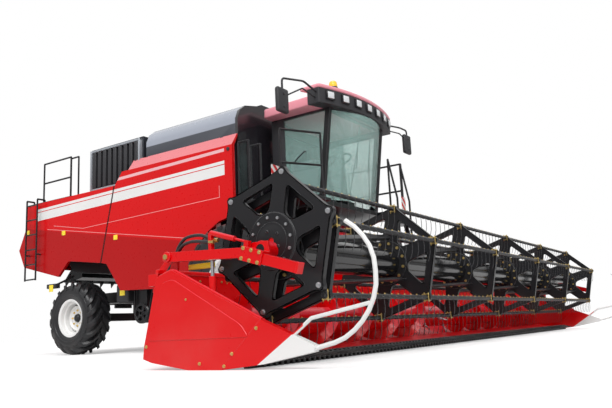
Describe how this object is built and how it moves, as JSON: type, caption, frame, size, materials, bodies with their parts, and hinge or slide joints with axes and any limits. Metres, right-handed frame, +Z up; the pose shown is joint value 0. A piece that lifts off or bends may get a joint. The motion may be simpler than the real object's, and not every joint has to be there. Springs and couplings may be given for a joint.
{
  "type": "combine harvester",
  "caption": "Self-propelled combine harvester with a wide grain header, pickup reel, glazed cab, grain tank and unloading auger.",
  "frame": {"origin": "middle of the machine's base at ground level", "axes": "+X forwards, +Y to the machine's left along the header, +Z up"},
  "size_m": [9.2476, 9.84, 3.9303],
  "materials": {
    "red_paint": "gloss red paint",
    "white_paint": "gloss white paint",
    "black_paint": "satin black paint",
    "grey_paint": "satin dark grey paint",
    "bare_steel": "brushed",
    "tyre_rubber": "matt black rubber",
    "cab_glass": "green-tinted clear",
    "seat_cloth": "woven dark grey"
  },
  "bodies": {
    "chassis": {"chassis_frame": "black_paint", "front_axle": "red_paint", "rear_axle": "black_paint", "threshing_body": "red_paint", "engine_block": "bare_steel", "rear_hood": "red_paint", "straw_chopper": "black_paint", "grain_tank": "grey_paint", "radiator_housing": "grey_paint", "radiator_screen": "black_paint", "cab_frame": "black_paint", "cab_windscreen": "cab_glass", "cab_window_right": "cab_glass", "cab_roof": "red_paint", "operator_seat": "seat_cloth", "steering_column": "black_paint", "platform_right": "black_paint", "platform_left": "black_paint", "rear_ladder": "black_paint"},
    "front_wheel_right": {"front_wheel_right_tyre": "tyre_rubber", "front_wheel_right_rim": "white_paint"},
    "front_wheel_left": {"front_wheel_left_tyre": "tyre_rubber", "front_wheel_left_rim": "white_paint"},
    "rear_steer_right": {"rear_knuckle_right": "black_paint"},
    "rear_steer_left": {"rear_knuckle_left": "black_paint"},
    "rear_wheel_right": {"rear_wheel_right_tyre": "tyre_rubber", "rear_wheel_right_rim": "white_paint"},
    "rear_wheel_left": {"rear_wheel_left_tyre": "tyre_rubber", "rear_wheel_left_rim": "white_paint"},
    "side_panel_right": {"side_panel_right": "red_paint"},
    "side_panel_left": {"side_panel_left": "red_paint"},
    "tank_lid_right": {"tank_lid_right": "grey_paint"},
    "tank_lid_left": {"tank_lid_left": "grey_paint"},
    "cab_door": {"cab_door": "black_paint", "cab_door_glass": "cab_glass"},
    "unloading_auger": {"unloading_auger": "red_paint"},
    "header": {"feeder_house": "red_paint", "header_frame": "red_paint", "crop_divider_right": "white_paint", "crop_divider_left": "white_paint"},
    "lift_barrels": {"lift_cylinder_barrels": "black_paint"},
    "lift_rods": {"lift_cylinder_rods": "bare_steel"},
    "header_auger": {"header_auger": "red_paint"},
    "knife": {"knife": "bare_steel"},
    "reel_arms": {"reel_arm_right": "red_paint", "reel_arm_left": "red_paint"},
    "reel_rams": {"reel_ram_right": "bare_steel", "reel_ram_left": "bare_steel"},
    "reel_carriage": {"reel_slider_right": "red_paint", "reel_slider_left": "red_paint"},
    "reel": {"reel_rotor": "black_paint"},
    "reel_control_plate": {"reel_control_plate": "black_paint"},
    "tine_bar_1": {"tine_bar_1": "bare_steel"},
    "tine_bar_2": {"tine_bar_2": "bare_steel"},
    "tine_bar_3": {"tine_bar_3": "bare_steel"},
    "tine_bar_4": {"tine_bar_4": "bare_steel"},
    "tine_bar_5": {"tine_bar_5": "bare_steel"},
    "tine_bar_6": {"tine_bar_6": "bare_steel"}
  },
  "joints": [
    {"name": "front_wheel_right_spin", "type": "hinge", "parent": "chassis", "child": "front_wheel_right", "pos_m": [0.70622, -1.5, 0.92], "axis": [0, 1, 0], "continuous": true},
    {"name": "front_wheel_left_spin", "type": "hinge", "parent": "chassis", "child": "front_wheel_left", "pos_m": [0.70622, 1.5, 0.92], "axis": [0, 1, 0], "continuous": true},
    {"name": "steer_right", "type": "hinge", "parent": "chassis", "child": "rear_steer_right", "pos_m": [-3.09378, -1.13, 0.62], "axis": [0, 0, 1], "range_deg": [-30, 30]},
    {"name": "steer_left", "type": "hinge", "parent": "chassis", "child": "rear_steer_left", "pos_m": [-3.09378, 1.13, 0.62], "axis": [0, 0, 1], "range_deg": [-30, 30]},
    {"name": "rear_wheel_right_spin", "type": "hinge", "parent": "rear_steer_right", "child": "rear_wheel_right", "pos_m": [-3.09378, -1.43, 0.62], "axis": [0, 1, 0], "continuous": true},
    {"name": "rear_wheel_left_spin", "type": "hinge", "parent": "rear_steer_left", "child": "rear_wheel_left", "pos_m": [-3.09378, 1.43, 0.62], "axis": [0, 1, 0], "continuous": true},
    {"name": "side_panel_right_lift", "type": "hinge", "parent": "chassis", "child": "side_panel_right", "pos_m": [-0.29378, -1.515, 3.14], "axis": [-1, 0, 0], "range_deg": [0, 70]},
    {"name": "side_panel_left_lift", "type": "hinge", "parent": "chassis", "child": "side_panel_left", "pos_m": [-0.29378, 1.515, 3.14], "axis": [1, 0, 0], "range_deg": [0, 50]},
    {"name": "tank_lid_right_open", "type": "hinge", "parent": "chassis", "child": "tank_lid_right", "pos_m": [-0.29378, -0.875, 3.768], "axis": [1, 0, 0], "range_deg": [0, 110]},
    {"name": "tank_lid_left_open", "type": "hinge", "parent": "chassis", "child": "tank_lid_left", "pos_m": [-0.29378, 0.875, 3.768], "axis": [-1, 0, 0], "range_deg": [0, 110]},
    {"name": "cab_door_open", "type": "hinge", "parent": "chassis", "child": "cab_door", "pos_m": [1.00222, 0.852, 2.8], "axis": [0, 0, 1], "range_deg": [0, 70]},
    {"name": "unloading_auger_swing", "type": "hinge", "parent": "chassis", "child": "unloading_auger", "pos_m": [0.24622, 1.7, 3.1], "axis": [0, 0, -1], "range_deg": [0, 100]},
    {"name": "header_lift", "type": "hinge", "parent": "chassis", "child": "header", "pos_m": [1.12622, 0, 1.6], "axis": [0, -1, 0], "range_deg": [0, 20]},
    {"name": "lift_cylinder_swing", "type": "hinge", "parent": "chassis", "child": "lift_barrels", "pos_m": [0.85622, 0, 0.56], "axis": [0, -1, 0], "range_deg": [0, 13.5]},
    {"name": "lift_cylinder_stroke", "type": "slide", "parent": "lift_barrels", "child": "lift_rods", "axis": [0.9998, 0, -0.022], "range_m": [0, 0.36]},
    {"name": "header_auger_spin", "type": "hinge", "parent": "header", "child": "header_auger", "pos_m": [2.79122, 0, 0.35], "axis": [0, 1, 0], "continuous": true},
    {"name": "knife_stroke", "type": "slide", "parent": "header", "child": "knife", "axis": [0, 1, 0], "range_m": [-0.038, 0.038]},
    {"name": "reel_lift", "type": "hinge", "parent": "header", "child": "reel_arms", "pos_m": [2.65622, 0, 0.915], "axis": [0, -1, 0], "range_deg": [0, 25]},
    {"name": "reel_ram_stroke", "type": "slide", "parent": "header", "child": "reel_rams", "axis": [0, 0, 1], "range_m": [0, 0.2]},
    {"name": "reel_reach", "type": "slide", "parent": "reel_arms", "child": "reel_carriage", "axis": [0.9571, 0, -0.2898], "range_m": [0, 0.15]},
    {"name": "reel_spin", "type": "hinge", "parent": "reel_carriage", "child": "reel", "pos_m": [3.58322, 0, 0.89], "axis": [0, 1, 0], "continuous": true},
    {"name": "control_plate_spin", "type": "hinge", "parent": "reel_carriage", "child": "reel_control_plate", "pos_m": [3.58322, 0, 0.964], "axis": [0, 1, 0], "continuous": true},
    {"name": "tine_bar_1_turn", "type": "hinge", "parent": "reel", "child": "tine_bar_1", "pos_m": [4.11296, 0, 1.06212], "axis": [0, 1, 0], "continuous": true},
    {"name": "tine_bar_2_turn", "type": "hinge", "parent": "reel", "child": "tine_bar_2", "pos_m": [3.69903, 0, 1.43483], "axis": [0, 1, 0], "continuous": true},
    {"name": "tine_bar_3_turn", "type": "hinge", "parent": "reel", "child": "tine_bar_3", "pos_m": [3.16929, 0, 1.26271], "axis": [0, 1, 0], "continuous": true},
    {"name": "tine_bar_4_turn", "type": "hinge", "parent": "reel", "child": "tine_bar_4", "pos_m": [3.05348, 0, 0.71788], "axis": [0, 1, 0], "continuous": true},
    {"name": "tine_bar_5_turn", "type": "hinge", "parent": "reel", "child": "tine_bar_5", "pos_m": [3.46741, 0, 0.34517], "axis": [0, 1, 0], "continuous": true},
    {"name": "tine_bar_6_turn", "type": "hinge", "parent": "reel", "child": "tine_bar_6", "pos_m": [3.99715, 0, 0.51729], "axis": [0, 1, 0], "continuous": true}
  ],
  "couplings": [
    {"joint": "steer_left", "follows": "steer_right", "ratio": 1},
    {"joint": "lift_cylinder_swing", "follows": "header_lift", "ratio": 0.664},
    {"joint": "lift_cylinder_stroke", "follows": "header_lift", "m_per_rad": 1.0067},
    {"joint": "reel_ram_stroke", "follows": "reel_lift", "m_per_rad": 0.45},
    {"joint": "control_plate_spin", "follows": "reel_spin", "ratio": 1},
    {"joint": "tine_bar_1_turn", "follows": "reel_spin", "ratio": -1},
    {"joint": "tine_bar_2_turn", "follows": "reel_spin", "ratio": -1},
    {"joint": "tine_bar_3_turn", "follows": "reel_spin", "ratio": -1},
    {"joint": "tine_bar_4_turn", "follows": "reel_spin", "ratio": -1},
    {"joint": "tine_bar_5_turn", "follows": "reel_spin", "ratio": -1},
    {"joint": "tine_bar_6_turn", "follows": "reel_spin", "ratio": -1}
  ]
}
